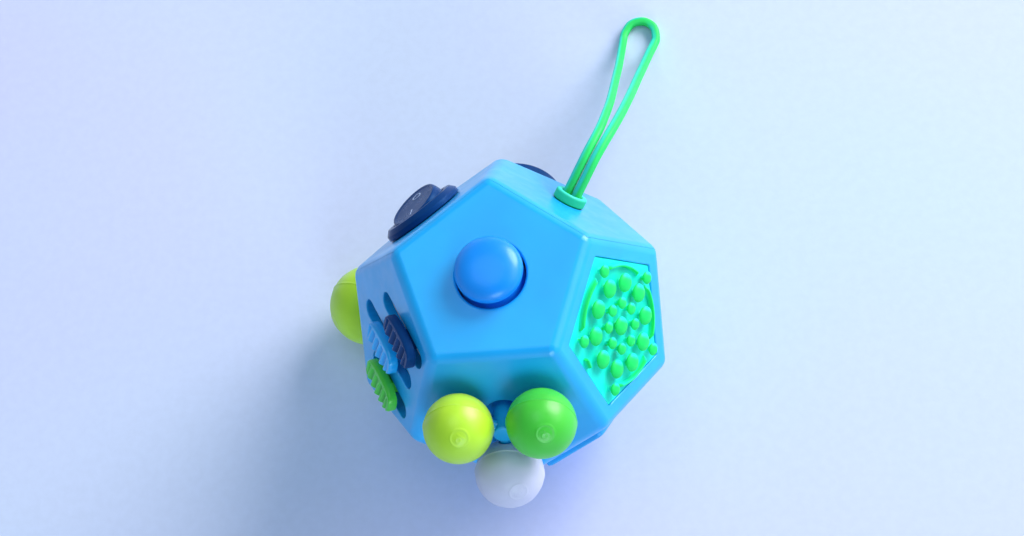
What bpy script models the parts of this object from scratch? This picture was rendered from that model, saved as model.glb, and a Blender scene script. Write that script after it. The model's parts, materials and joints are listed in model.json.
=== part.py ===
"""A twelve-sided fidget toy: a hollow dodecahedral housing with something to play with on each face.

Sizes are in millimetres until a helper scales them to metres. The toy stands on its base face, whose
centre is the origin, and +Z runs up through the joystick's face. Each face has an empty at its centre,
with +Z out of the face, +Y up the face and +X across it, and that face's pieces are built in its frame.
Every face's inner works stay inside the pyramid from that face to the housing's centre.
"""

from math import acos, atan2, copysign, cos, degrees, pi, radians, sin, sqrt

import bmesh
import bpy
from mathutils import Matrix, Vector

MM = 0.001

# Housing
EDGE = 28.0
INRADIUS = EDGE * 1.113516
TILT = degrees(acos(1 / sqrt(5)))
WALL = 2.2
EDGE_ROUND = 2.0
SEAM_GAP = 0.3
SEAT_GAP = 0.2
RUN_GAP = 0.3
# Azimuth and polar angle of each face's outward normal, in degrees
FACES = {
    "joystick": (270, 0),
    "rocker": (126, TILT),
    "slider": (198, TILT),
    "spinner": (270, TILT),
    "bristle": (342, TILT),
    "lanyard": (54, TILT),
    "dial": (90, 180 - TILT),
    "ball": (162, 180 - TILT),
    "button": (234, 180 - TILT),
    "thumb": (306, 180 - TILT),
    "wheel": (18, 180 - TILT),
    "base": (270, 180),
}
# Each half of the housing is a face and its five neighbours
FRONT_BOWL = ("spinner", "joystick", "slider", "bristle", "button", "thumb")
BACK_BOWL = ("dial", "rocker", "lanyard", "ball", "wheel", "base")

# Joystick
STICK_HOLE = 8.06
STICK_CAP = 7.8
STICK_TOP = 6.2
STICK_PIVOT = -6.0
DOME = 8.1

# Three-ball spinner
BALL = 8.06
BALL_ORBIT = 10.8
BALL_HEIGHT = 8.4
HUB = 2.5
HUB_TOP = 6.4
HUB_HOLE = 4.6
ARM = 1.4
ARM_HEIGHT = 4.6

# Bristle pad
PAD_HOLE = 18.48
PAD_TOP = -0.3
RING_LARGE = 9.94
RING_SMALL = 5.24
RING_CORNER = 14.56

# Sliders
SLOT_TURN = 18
SLOT_WIDTH = 4.6
KNOB_LENGTH = 14.2
KNOB_WIDTH = 7.2
KNOB_LOW = 0.9
KNOB_TOP = 3.0
KNOB_POWER = 2.8
NECK_HALF_LENGTH = 1.6
NECK_HALF_WIDTH = 1.8
# name: (place across the face, slot's low end, slot's high end, where the knob rests)
SLIDERS = {
    "blue": (-1.1, -14.1, 13.4, 0.4),
    "black": (8.6, -6.9, 16.0, 7.7),
    "green": (-10.8, -6.2, 13.9, 3.5),
}

# Rocker switch
ROCKER_SHIFT = 1.5
ROCKER_TURN = 234
ROCKER_PIVOT = 1.4
ROCKER_TILT = 16
PADDLE = 7.1
PADDLE_TOP = 2.94
BEZEL = 10.1
BEZEL_TOP = 2.7

# Lanyard
GROMMET_HOLE = 3.4
CORD = 2.1
# The loop's centre line and half width: (distance from the upright axis, azimuth in degrees, height
# above the base, half the gap between the two strands)
CORD_ROUTE = (
    (25.2, 54.0, 43.8, 1.2),
    (27.9, 54.0, 45.1, 1.2),
    (30.7, 54.0, 46.6, 1.2),
    (34.8, 54.3, 48.2, 1.2),
    (39.0, 54.8, 49.2, 1.2),
    (43.2, 55.4, 49.0, 1.25),
    (47.6, 56.5, 47.0, 1.4),
    (52.5, 58.3, 42.8, 1.7),
    (58.3, 60.6, 36.2, 2.0),
    (64.7, 63.0, 28.2, 2.4),
    (71.6, 65.2, 19.6, 2.8),
    (78.4, 66.9, 11.4, 3.2),
    (85.1, 68.2, 4.6, 3.7),
    (89.1, 68.7, 1.8, 4.1),
    (91.5, 68.9, 1.2, 4.2),
)

# Dial and ball
DIAL = 12.2
DIAL_TOP = 12.2
SHAFT = 1.9
THUMB_BALL = 10.1
THUMB_BALL_HEIGHT = 13.6
POST = 2.0

# Buttons, wheels, thumb plate, base
BUTTON = 3.2
BUTTON_ORBIT = 10.0
BUTTON_TOP = 2.0
WHEEL = 6.5
WHEEL_THICK = 3.0
WHEEL_DEPTH = -4.0
WHEEL_PITCH = 5.2
PLATE_HALF_LENGTH = 13.8
PLATE_HALF_WIDTH = 9.0
PLATE_TURN = -54
HOLLOW = 30.0
PLATE_TOP = 2.2
SPIN_HOLE = 13.4
SPIN_INNER = 7.3

COLORS = {
    "shell_blue": ((0.06, 0.38, 0.85), 0.38),
    "joystick_blue": ((0.02, 0.25, 0.72), 0.42),
    "turquoise": ((0.02, 0.72, 0.48), 0.5),
    "lime": ((0.5, 0.78, 0.08), 0.35),
    "green": ((0.13, 0.62, 0.08), 0.35),
    "white": ((0.72, 0.72, 0.82), 0.4),
    "navy": ((0.008, 0.014, 0.04), 0.3),
    "inner_white": ((0.8, 0.8, 0.78), 0.5),
    "steel": ((0.6, 0.6, 0.62), 0.25),
    "brass": ((0.7, 0.5, 0.2), 0.3),
}
METALS = ("steel", "brass")


# ---------------------------------------------------------------- scene


def clear_scene():
    for obj in list(bpy.data.objects):
        bpy.data.objects.remove(obj, do_unlink=True)


def new_collection(name):
    made = bpy.data.collections.new(name)
    bpy.context.scene.collection.children.link(made)
    return made


def make_material(name):
    color, roughness = COLORS[name]
    made = bpy.data.materials.new(name)
    made.use_nodes = True
    shader = made.node_tree.nodes["Principled BSDF"]
    shader.inputs["Base Color"].default_value = (*color, 1)
    shader.inputs["Roughness"].default_value = roughness
    shader.inputs["Metallic"].default_value = 1.0 if name in METALS else 0.0
    return made


def make_face_empty(name):
    azimuth, polar = FACES[name]
    empty = bpy.data.objects.new("face_" + name, None)
    empty.rotation_euler = (radians(polar), 0, radians(azimuth + 90))
    normal = empty.rotation_euler.to_matrix() @ Vector((0, 0, 1))
    empty.location = (normal + Vector((0, 0, 1))) * INRADIUS * MM
    PARTS.objects.link(empty)
    return empty


def make_pivot(name, parent, location=(0, 0, 0), turn=0.0):
    """An empty on a joint's axis, turned about the face's normal."""
    empty = bpy.data.objects.new("pivot_" + name, None)
    empty.parent = parent
    empty.location = Vector(location) * MM
    empty.rotation_euler = (0, 0, radians(turn))
    PARTS.objects.link(empty)
    return empty


def place(obj, parent, material, location=(0, 0, 0), rotation=(0, 0, 0)):
    obj.parent = parent
    obj.location = Vector(location) * MM
    obj.rotation_euler = [radians(angle) for angle in rotation]
    obj.data.materials.append(MATERIALS[material])
    PARTS.objects.link(obj)
    return obj


def helper(obj, parent, location=(0, 0, 0), rotation=(0, 0, 0)):
    """Keeps a shape as a cutter or as a piece to be joined on."""
    obj.parent = parent
    obj.location = Vector(location) * MM
    obj.rotation_euler = [radians(angle) for angle in rotation]
    obj.hide_render = True
    obj.display_type = "WIRE"
    CUTTERS.objects.link(obj)
    return obj


def boolean(obj, other, operation):
    modifier = obj.modifiers.new(operation.title(), "BOOLEAN")
    modifier.operation = operation
    modifier.solver = "EXACT"
    modifier.object = other


def cut(obj, *others):
    for other in others:
        boolean(obj, other, "DIFFERENCE")


def join(obj, *others):
    for other in others:
        boolean(obj, other, "UNION")


# ---------------------------------------------------------------- shapes


def finish_mesh(name, bm, smooth=True):
    bmesh.ops.recalc_face_normals(bm, faces=bm.faces)
    mesh = bpy.data.meshes.new(name)
    bm.to_mesh(mesh)
    bm.free()
    if smooth:
        mesh.shade_smooth()
        mesh.set_sharp_from_angle(angle=radians(35))
    return bpy.data.objects.new(name, mesh)


def turned(name, profile, steps=24, ring=False):
    """A turned shape from (radius, height) points that run down its outer side. A ring's profile closes."""
    bm = bmesh.new()
    points = [bm.verts.new((radius * MM, 0, height * MM)) for radius, height in profile]
    ends = points[1:] + points[:1] if ring else points[1:]
    for first, second in zip(points, ends):
        bm.edges.new((first, second))
    mesh = bpy.data.meshes.new(name)
    bm.to_mesh(mesh)
    bm.free()
    obj = bpy.data.objects.new(name, mesh)
    screw = obj.modifiers.new("Turn", "SCREW")
    screw.steps = steps
    screw.render_steps = steps
    screw.use_merge_vertices = True
    screw.merge_threshold = 0.00001
    return obj


def box(name, low, high):
    bm = bmesh.new()
    bmesh.ops.create_cube(bm, size=1)
    size = [(b - a) * MM for a, b in zip(low, high)]
    centre = Vector([(a + b) / 2 * MM for a, b in zip(low, high)])
    bmesh.ops.transform(bm, verts=bm.verts, matrix=Matrix.Translation(centre) @ Matrix.Diagonal((*size, 1)))
    return finish_mesh(name, bm, smooth=False)


def prism(name, sides, radius, low, high, turn=0.0, top_radius=None):
    """A straight or tapered prism; at turn 0 its first corner is on +Y."""
    bm = bmesh.new()
    top = radius if top_radius is None else top_radius
    bmesh.ops.create_cone(
        bm, cap_ends=True, segments=sides, radius1=radius * MM, radius2=top * MM, depth=(high - low) * MM
    )
    lift = Matrix.Translation((0, 0, (low + high) / 2 * MM)) @ Matrix.Rotation(radians(turn), 4, "Z")
    bmesh.ops.transform(bm, verts=bm.verts, matrix=lift)
    return finish_mesh(name, bm)


def rod(name, radius, start, end, steps=12):
    """A round rod between two points."""
    start, end = Vector(start) * MM, Vector(end) * MM
    along = end - start
    bm = bmesh.new()
    bmesh.ops.create_cone(
        bm, cap_ends=True, segments=steps, radius1=radius * MM, radius2=radius * MM, depth=along.length
    )
    turn = along.to_track_quat("Z", "Y").to_matrix().to_4x4()
    bmesh.ops.transform(bm, verts=bm.verts, matrix=Matrix.Translation((start + end) / 2) @ turn)
    return finish_mesh(name, bm)


def ball(name, radius, steps=20, centre=(0, 0, 0)):
    bm = bmesh.new()
    bmesh.ops.create_uvsphere(bm, u_segments=steps, v_segments=steps // 2, radius=radius * MM)
    bmesh.ops.translate(bm, verts=bm.verts, vec=Vector(centre) * MM)
    return finish_mesh(name, bm)


def outline_plate(name, outline, low, high):
    """A flat outline as thick as from low to high, made a mesh so that it can be cut and joined."""
    curve = bpy.data.curves.new(name, "CURVE")
    curve.dimensions = "2D"
    curve.fill_mode = "BOTH"
    curve.extrude = (high - low) / 2 * MM
    spline = curve.splines.new("POLY")
    spline.points.add(len(outline) - 1)
    for point, (x, y) in zip(spline.points, outline):
        point.co = (x * MM, y * MM, 0, 1)
    spline.use_cyclic_u = True
    drawn = bpy.data.objects.new(name + "_outline", curve)
    bpy.context.scene.collection.objects.link(drawn)
    graph = bpy.context.evaluated_depsgraph_get()
    bm = bmesh.new()
    bm.from_mesh(bpy.data.meshes.new_from_object(drawn.evaluated_get(graph)))
    bpy.data.objects.remove(drawn)
    bmesh.ops.remove_doubles(bm, verts=bm.verts, dist=0.000001)
    bmesh.ops.translate(bm, verts=bm.verts, vec=(0, 0, (low + high) / 2 * MM))
    return finish_mesh(name, bm)


def tube(name, points, radius, resolution=2):
    """A round tube along points given in metres."""
    curve = bpy.data.curves.new(name, "CURVE")
    curve.dimensions = "3D"
    curve.bevel_depth = radius * MM
    curve.bevel_resolution = resolution
    curve.use_fill_caps = True
    spline = curve.splines.new("POLY")
    spline.points.add(len(points) - 1)
    for point, co in zip(spline.points, points):
        point.co = (*co, 1)
    return bpy.data.objects.new(name, curve)


def coil(name, radius, wire, low, high, turns, per_turn=10):
    count = turns * per_turn
    points = []
    for i in range(count + 1):
        angle = 2 * pi * i / per_turn
        height = low + (high - low) * i / count
        points.append((radius * MM * cos(angle), radius * MM * sin(angle), height * MM))
    return tube(name, points, wire, resolution=1)


def repeated(name, pattern, places):
    """One mesh with a copy of the turned pattern at each place; the copies don't meet."""
    bpy.context.scene.collection.objects.link(pattern)
    graph = bpy.context.evaluated_depsgraph_get()
    mesh = bpy.data.meshes.new_from_object(pattern.evaluated_get(graph))
    bpy.data.objects.remove(pattern)
    bm = bmesh.new()
    for x, y in places:
        before = len(bm.verts)
        bm.from_mesh(mesh)
        bm.verts.ensure_lookup_table()
        bmesh.ops.translate(bm, verts=bm.verts[before:], vec=(x * MM, y * MM, 0))
    return finish_mesh(name, bm)


def dome(radius, low, high, power=2.4, count=6):
    """Profile points of a rounded top, from its crown down to its widest radius."""
    points = []
    for i in range(count + 1):
        share = sin(pi / 2 * i / count)
        points.append((radius * share, low + (high - low) * (1 - share**power) ** (1 / power)))
    return points


def circle_places(count, radius, first):
    angles = [radians(first + 360 * k / count) for k in range(count)]
    return [(radius * cos(angle), radius * sin(angle)) for angle in angles]


# ---------------------------------------------------------------- housing


def corner_points():
    """The dodecahedron's twenty corners about its own centre, at edge length 1, in four rings of five."""
    rim = 0.850651
    belt = 1.376382
    belt_height = 0.262866
    points = []
    for k in range(5):
        upper, lower = radians(90 + 72 * k), radians(126 + 72 * k)
        points.append(Vector((rim * cos(upper), rim * sin(upper), 1.113516)))
        points.append(Vector((belt * cos(upper), belt * sin(upper), belt_height)))
        points.append(Vector((belt * cos(lower), belt * sin(lower), -belt_height)))
        points.append(Vector((rim * cos(lower), rim * sin(lower), -1.113516)))
    return points


def dodecahedron(name, inradius):
    bm = bmesh.new()
    scale = inradius / 1.113516 * MM
    for point in corner_points():
        bm.verts.new(point * scale)
    bmesh.ops.convex_hull(bm, input=bm.verts)
    bmesh.ops.dissolve_limit(bm, angle_limit=radians(5), verts=bm.verts, edges=bm.edges)
    bmesh.ops.translate(bm, verts=bm.verts, vec=(0, 0, INRADIUS * MM))
    return finish_mesh(name, bm, smooth=False)


def bowl_cutter(name, faces, shift):
    """The space of six neighbouring faces: their pyramids from the centre, carried past the housing."""
    normals = [FACE[face].rotation_euler.to_matrix() @ Vector((0, 0, 1)) for face in faces]
    bm = bmesh.new()
    made = {}
    for normal in normals:
        ring = [p for p in corner_points() if abs(p.dot(normal) - 1.113516) < 0.01]
        side = (ring[0] - normal * ring[0].dot(normal)).normalized()
        up = normal.cross(side)
        ring.sort(key=lambda p: atan2(p.dot(up), p.dot(side)))
        for point in ring:
            key = tuple(round(value, 4) for value in point)
            if key not in made:
                made[key] = bm.verts.new(point * EDGE * 1.3 * MM)
        bm.faces.new([made[tuple(round(value, 4) for value in point)] for point in ring])
    centre = bm.verts.new((0, 0, 0))
    for edge in [edge for edge in bm.edges if edge.is_boundary]:
        bm.faces.new((*edge.verts, centre))
    bmesh.ops.translate(bm, verts=bm.verts, vec=Vector((0, 0, INRADIUS * MM)) + normals[0] * shift * MM)
    return helper(finish_mesh(name, bm, smooth=False), None)


def face_openings():
    """What is cut through the wall, for each face."""
    through = (-WALL - 1, 1)
    openings = {}

    chamfer = [(0, 1), (STICK_HOLE + 1.65, 1), (STICK_HOLE, -0.65), (STICK_HOLE, -WALL - 1), (0, -WALL - 1)]
    chamfer = turned("stick_hole", chamfer, 32)
    openings["joystick"] = [helper(chamfer, FACE["joystick"])]

    hub_hole = prism("hub_hole", 32, HUB_HOLE, *through)
    openings["spinner"] = [helper(hub_hole, FACE["spinner"])]

    pad_hole = prism("pad_hole", 5, PAD_HOLE, *through, turn=36)
    openings["bristle"] = [helper(pad_hole, FACE["bristle"])]

    slots = []
    for color, (across, low, high, _) in SLIDERS.items():
        half = SLOT_WIDTH / 2
        outline = slot_outline(low, high, half)
        slot = outline_plate("slot_" + color, outline, *through)
        slots.append(helper(slot, SLIDER_FRAME, (0, across, 0)))
    openings["slider"] = slots

    rocker_hole = prism("rocker_hole", 28, 8.9, *through)
    openings["rocker"] = [helper(rocker_hole, FACE["rocker"], (ROCKER_SHIFT, 0, 0))]

    cord_hole = prism("cord_hole", 24, GROMMET_HOLE, *through)
    openings["lanyard"] = [helper(cord_hole, FACE["lanyard"])]

    shaft_hole = prism("shaft_hole", 24, SHAFT + 0.4, *through)
    openings["dial"] = [helper(shaft_hole, FACE["dial"])]

    post_hole = prism("post_hole", 24, POST + SEAT_GAP, *through)
    openings["ball"] = [helper(post_hole, FACE["ball"])]

    button_holes = []
    for k, (x, y) in enumerate(circle_places(5, BUTTON_ORBIT, 90)):
        hole = prism(f"button_hole_{k + 1}", 16, BUTTON + RUN_GAP, *through)
        button_holes.append(helper(hole, FACE["button"], (x, y, 0)))
    openings["button"] = button_holes

    openings["thumb"] = []

    wheel_slots = []
    for k in range(3):
        half = WHEEL_THICK / 2 + RUN_GAP
        slot = box(f"wheel_slot_{k + 1}", (-half, -6.7, through[0]), (half, 6.7, through[1]))
        wheel_slots.append(helper(slot, FACE["wheel"], ((k - 1) * WHEEL_PITCH, 0, 0)))
    openings["wheel"] = wheel_slots

    spin_hole = prism("spin_hole", 32, SPIN_HOLE, *through)
    openings["base"] = [helper(spin_hole, FACE["base"])]
    return openings


def slot_outline(low, high, half, count=6):
    """A straight slot with round ends, along X."""
    points = []
    for centre, start in ((high - half, -90), (low + half, 90)):
        for i in range(count + 1):
            angle = radians(start + 180 * i / count)
            points.append((centre + half * cos(angle), half * sin(angle)))
    return points


def make_shells():
    cavity = helper(dodecahedron("cavity", INRADIUS - WALL), None)
    openings = face_openings()
    for name, faces in (("shell_front", FRONT_BOWL), ("shell_back", BACK_BOWL)):
        shell = place(dodecahedron(name, INRADIUS), None, "shell_blue")
        bevel = shell.modifiers.new("Round", "BEVEL")
        bevel.width = EDGE_ROUND * MM
        bevel.segments = 3
        cut(shell, cavity)
        boolean(shell, bowl_cutter(name + "_bowl", faces, SEAM_GAP * 0.6), "INTERSECT")
        for face in faces:
            cut(shell, *openings[face])


# ---------------------------------------------------------------- faces


def make_joystick():
    face = FACE["joystick"]
    pivot = make_pivot("joystick", face, (0, 0, STICK_PIVOT))
    lift = -STICK_PIVOT

    cap_profile = dome(STICK_CAP, 2.6, STICK_TOP) + [(7.4, 2.0), (6.4, 1.5), (2.3, 1.5), (2.3, 4.3), (0, 4.3)]
    cap_profile = [(radius, height + lift) for radius, height in cap_profile]
    place(turned("joystick_cap", cap_profile, 28), pivot, "joystick_blue")

    skirt = []
    for i in range(5):
        height = 6.9 + (3.5 - 6.9) * i / 4
        skirt.append((sqrt(DOME**2 - height**2), height))
    stem_profile = [(0, 10.0), (2.0, 10.0), (2.0, skirt[0][1])] + skirt
    stem_profile += [(2.0, 3.5), (2.0, -2.2), (3.0, -2.2), (3.0, -3.0), (0, -3.0)]
    stem = place(turned("joystick_stem", stem_profile, 24), pivot, "joystick_blue")
    join(stem, helper(rod("stem_pin", 0.9, (0, -5.6, 0), (0, 5.6, 0), 12), pivot))

    ring = turned("joystick_ring", [(4.2, 1.8), (6.0, 1.8), (6.0, -1.8), (4.2, -1.8)], 20, ring=True)
    place(ring, pivot, "inner_white")
    for side in (-1, 1):
        join(ring, helper(rod(f"ring_pin_{side}", 0.9, (side * 5.5, 0, 0), (side * 8.9, 0, 0), 12), pivot))
    cut(ring, helper(rod("ring_holes", 1.2, (0, -7, 0), (0, 7, 0), 12), pivot))

    cradle_profile = [(0, -8.0), (8.4, -8.0), (8.4, 3.5), (9.4, 3.5), (9.4, -9.4), (0, -9.4)]
    cradle = place(turned("joystick_cradle", cradle_profile, 20), pivot, "inner_white")
    cut(cradle, helper(rod("cradle_holes", 1.2, (-12, 0, 0), (12, 0, 0), 12), pivot))

    place(coil("joystick_spring", 2.4, 0.3, -7.4, -3.6, 4), pivot, "steel")


def make_spinner():
    pivot = make_pivot("spinner", FACE["spinner"])
    hub_profile = [
        (0, HUB_TOP),
        (HUB - 0.8, HUB_TOP - 0.1),
        (HUB, HUB_TOP - 0.8),
        (HUB, -2.8),
        (6.5, -2.8),
        (6.5, -4.2),
        (HUB, -4.2),
        (HUB, -9.6),
        (1.2, -9.6),
        (1.2, -4.5),
        (0, -4.5),
    ]
    hub = place(turned("spinner_hub", hub_profile, 16), pivot, "shell_blue")
    for name, material, angle in (("lime", "lime", 150), ("green", "green", 30), ("white", "white", 270)):
        x, y = cos(radians(angle)), sin(radians(angle))
        arm = rod("arm_" + name, ARM, (0, 0, ARM_HEIGHT), (x * BALL_ORBIT, y * BALL_ORBIT, ARM_HEIGHT))
        join(hub, helper(arm, pivot))
        orb = ball("ball_" + name, BALL)
        place(orb, pivot, material, (x * BALL_ORBIT, y * BALL_ORBIT, BALL_HEIGHT))
        reach = BALL_ORBIT + 0.3
        bore = rod("bore_" + name, ARM + RUN_GAP, (0, 0, ARM_HEIGHT), (x * reach, y * reach, ARM_HEIGHT))
        cut(orb, helper(bore, pivot))

    bearing = [(HUB + RUN_GAP, -4.6), (7.0, -4.6), (7.0, -9.4), (HUB + RUN_GAP, -9.4)]
    place(turned("spinner_bearing", bearing, 24, ring=True), pivot, "inner_white")
    washer = [(1.3, -9.9), (4.2, -9.9), (4.2, -10.7), (1.3, -10.7)]
    place(turned("spinner_washer", washer, 24, ring=True), pivot, "steel")
    screw = [(0, -4.9), (0.9, -4.9), (0.9, -11.0), (2.4, -11.0), (2.2, -12.4), (0, -12.6)]
    place(turned("spinner_screw", screw, 16), pivot, "steel")


def make_bristle_pad():
    face = FACE["bristle"]
    fit = RUN_GAP / cos(radians(36))
    pad = prism("bristle_pad", 5, PAD_HOLE - fit, -3.0, PAD_TOP, turn=36)
    place(pad, face, "turquoise")
    join(pad, helper(prism("pad_flange", 5, 20.2, -3.7, -2.5, turn=36), face))

    def head(radius, top):
        low = PAD_TOP - 0.5
        stem = radius * 0.4
        profile = dome(radius, top - radius * 0.75, top, 2.2, 3)
        return turned("head", profile + [(stem, top - radius * 0.95), (stem, low), (0, low)], 7)

    large = [(0, 0)] + circle_places(10, RING_LARGE, 18)
    small = circle_places(8, RING_SMALL, 26.7)
    corner = circle_places(5, RING_CORNER, 54)
    for name, radius, top, places in (
        ("large", 2.2, 2.2, large),
        ("small", 1.45, 2.0, small),
        ("corner", 1.5, 1.3, corner),
    ):
        join(pad, helper(repeated(name + "_heads", head(radius, top), places), face))

    place(prism("pad_backplate", 5, 18.4, -5.4, -4.1, turn=36), face, "inner_white")


def make_sliders():
    guide = prism("slider_guide", 5, 17.6, -5.8, -4.6, turn=36)
    place(guide, FACE["slider"], "inner_white")
    for color, (across, _, _, rest) in SLIDERS.items():
        pivot = make_pivot("slider_" + color, SLIDER_FRAME, (rest, across, 0))
        material = {"blue": "shell_blue", "black": "navy", "green": "green"}[color]
        outline = []
        for i in range(20):
            x, y = cos(2 * pi * i / 20), sin(2 * pi * i / 20)
            x = copysign(abs(x) ** (2 / KNOB_POWER), x) * KNOB_LENGTH / 2
            y = copysign(abs(y) ** (2 / KNOB_POWER), y) * KNOB_WIDTH / 2
            outline.append((x, y))
        knob = outline_plate("slider_knob_" + color, outline, KNOB_LOW, KNOB_TOP)
        place(knob, pivot, material)
        x, y = NECK_HALF_LENGTH, NECK_HALF_WIDTH
        join(knob, helper(box("neck_" + color, (-x, -y, -4.2), (x, y, 1.6)), pivot))
        clip = place(box("slider_clip_" + color, (-3.0, -2.8, -3.8), (3.0, 2.8, -2.6)), pivot, "inner_white")
        x, y = x + RUN_GAP, y + RUN_GAP
        cut(clip, helper(box("clip_hole_" + color, (-x, -y, -5), (x, y, -1)), pivot))


def make_rocker():
    face = FACE["rocker"]
    pivot = make_pivot("rocker", face, (ROCKER_SHIFT, 0, ROCKER_PIVOT), ROCKER_TURN)
    drop = -ROCKER_PIVOT
    inner = PADDLE + RUN_GAP
    profile = [
        (0, -10.8),
        (inner, -10.8),
        (inner, BEZEL_TOP - 0.2),
        (inner + 0.2, BEZEL_TOP),
        (8.8, BEZEL_TOP),
        (BEZEL, 1.3),
        (BEZEL, SEAT_GAP),
        (8.6, SEAT_GAP),
        (8.6, -12.0),
        (0, -12.0),
    ]
    profile = [(radius, height + drop) for radius, height in profile]
    housing = place(turned("rocker_housing", profile, 28), pivot, "navy")
    cut(housing, helper(rod("rocker_bores", 1.1, (0, -8.5, 0), (0, 8.5, 0), 12), pivot))

    arc = []
    for i in range(5):
        height = PADDLE_TOP - 0.25 + (-2.5 - PADDLE_TOP + 0.25) * i / 4
        arc.append((sqrt(PADDLE**2 - height**2), height))
    crown = [(0, PADDLE_TOP), (arc[0][0] - 0.35, PADDLE_TOP)]
    leg = [(1.7, -2.5), (1.7, -5.0), (1.1, -5.0), (1.1, -1.2), (0, -1.2)]
    tilt = (0, -ROCKER_TILT, 0)
    paddle = place(turned("rocker_paddle", crown + arc + leg, 24), pivot, "navy", rotation=tilt)
    join(paddle, helper(rod("rocker_pins", 0.8, (0, -8.1, 0), (0, 8.1, 0), 12), pivot))
    plunger = [(0, -3.4), (0.8, -3.4), (0.8, -5.8), (0.5, -6.2), (0, -6.3)]
    place(turned("rocker_plunger", plunger, 12), pivot, "inner_white", rotation=tilt)
    place(coil("rocker_spring", 0.6, 0.15, -3.1, -1.5, 3, 8), pivot, "steel", rotation=tilt)

    contact = box("rocker_contact", (-5.0, -1.5, -8.0), (5.0, 1.5, -7.4))
    place(contact, pivot, "brass")
    for name, x in (("left", -4.0), ("right", 4.0)):
        blade = box("rocker_terminal_" + name, (x - 0.4, -1.6, -16.6), (x + 0.4, 1.6, -9.4))
        place(blade, pivot, "brass")
        slot = box("terminal_slot_" + name, (x - 0.7, -1.9, -14.5), (x + 0.7, 1.9, -10))
        cut(housing, helper(slot, pivot))


def smooth_route(points, per_span):
    """Points along the smooth curve through the given ones, ends included."""
    points = [Vector(point) for point in points]
    padded = [points[0] * 2 - points[1], *points, points[-1] * 2 - points[-2]]
    route = []
    for before, start, end, after in zip(padded, padded[1:], padded[2:], padded[3:]):
        for i in range(per_span):
            t = i / per_span
            bend = (2 * before - 5 * start + 4 * end - after) * t**2
            twist = (3 * start - before - 3 * end + after) * t**3
            route.append((2 * start + (end - before) * t + bend + twist) / 2)
    return route + [points[-1]]


def cord_points():
    """The doubled cord's own points: out along one strand, round the loop's end and back."""
    left, right, centres = [], [], []
    for radius, azimuth, height, half in CORD_ROUTE:
        angle = radians(azimuth)
        centres.append(Vector((radius * cos(angle), radius * sin(angle), height)))
    for i, (centre, (_, _, _, half)) in enumerate(zip(centres, CORD_ROUTE)):
        along = centres[min(i + 1, len(centres) - 1)] - centres[max(i - 1, 0)]
        side = along.cross(Vector((0, 0, 1))).normalized()
        left.append(centre - side * half)
        right.append(centre + side * half)
    along = centres[-1] - centres[-2]
    along = Vector((along.x, along.y, 0)).normalized()
    half = CORD_ROUTE[-1][3]
    side = along.cross(Vector((0, 0, 1))).normalized()
    end = []
    for angle in (45, 90, 135):
        turn = radians(angle)
        end.append(centres[-1] - side * half * cos(turn) + along * half * sin(turn))
    return left + end + right[::-1]


def make_lanyard():
    face = FACE["lanyard"]
    inner = CORD + 0.4
    profile = [
        (inner, 2.1),
        (inner + 0.3, 2.5),
        (3.5, 2.5),
        (3.9, 2.0),
        (3.9, SEAT_GAP),
        (3.15, SEAT_GAP),
        (3.15, -2.8),
        (inner, -2.8),
    ]
    place(turned("lanyard_grommet", profile, 18, ring=True), face, "turquoise")
    place(turned("lanyard_anchor", [(0, -4.0), (4.4, -4.0), (4.4, -5.6), (0, -5.6)], 20), face, "turquoise")
    route = [point * MM for point in smooth_route(cord_points(), 2)]
    place(tube("lanyard_cord", route, CORD / 2), None, "turquoise")


def make_dial():
    pivot = make_pivot("dial", FACE["dial"])
    crown = dome(11.7, 10.9, DIAL_TOP, 2.2, 4)
    knob_profile = crown + [(DIAL, 2.0), (DIAL - 0.4, 0.6), (2.3, 0.6), (2.3, 8.0), (0, 8.0)]
    place(turned("dial_knob", knob_profile, 30), pivot, "navy")
    place(turned("dial_shaft", [(0, 7.7), (SHAFT, 7.7), (SHAFT, -9.0), (0, -9.0)], 20), pivot, "steel")
    clip = [(SHAFT + SEAT_GAP, -2.6), (4.2, -2.6), (4.2, -3.4), (SHAFT + SEAT_GAP, -3.4)]
    place(turned("dial_clip", clip, 20, ring=True), pivot, "steel")
    teeth = []
    for k in range(24):
        radius = 5.4 if k % 2 else 4.6
        teeth.append((radius * cos(pi * k / 12), radius * sin(pi * k / 12)))
    ratchet = place(outline_plate("dial_ratchet", teeth, -7.4, -5.6), pivot, "inner_white")
    cut(ratchet, helper(prism("ratchet_bore", 20, SHAFT + SEAT_GAP, -9, -4), pivot))
    place(box("dial_detent", (-4.5, 5.8, -7.2), (4.5, 6.4, -5.8)), pivot, "steel")


def make_thumb_ball():
    pivot = make_pivot("thumb_ball", FACE["ball"])
    orb = place(ball("thumb_ball", THUMB_BALL, 22), pivot, "lime", (0, 0, THUMB_BALL_HEIGHT))
    bore = rod("thumb_ball_bore", POST + RUN_GAP, (0, 0, 0), (0, 0, 18.3), 20)
    cut(orb, helper(bore, pivot))
    post = [(0, 18.0), (POST - 0.4, 18.0), (POST, 17.6), (POST, -2.5), (5.0, -2.5), (5.0, -4.2), (0, -4.2)]
    place(turned("ball_post", post, 20), pivot, "inner_white")
    collar = [(POST + SEAT_GAP, 2.0), (3.4, 2.0), (3.8, 1.4), (3.8, SEAT_GAP), (POST + SEAT_GAP, SEAT_GAP)]
    place(turned("ball_collar", collar, 24, ring=True), pivot, "navy")


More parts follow.
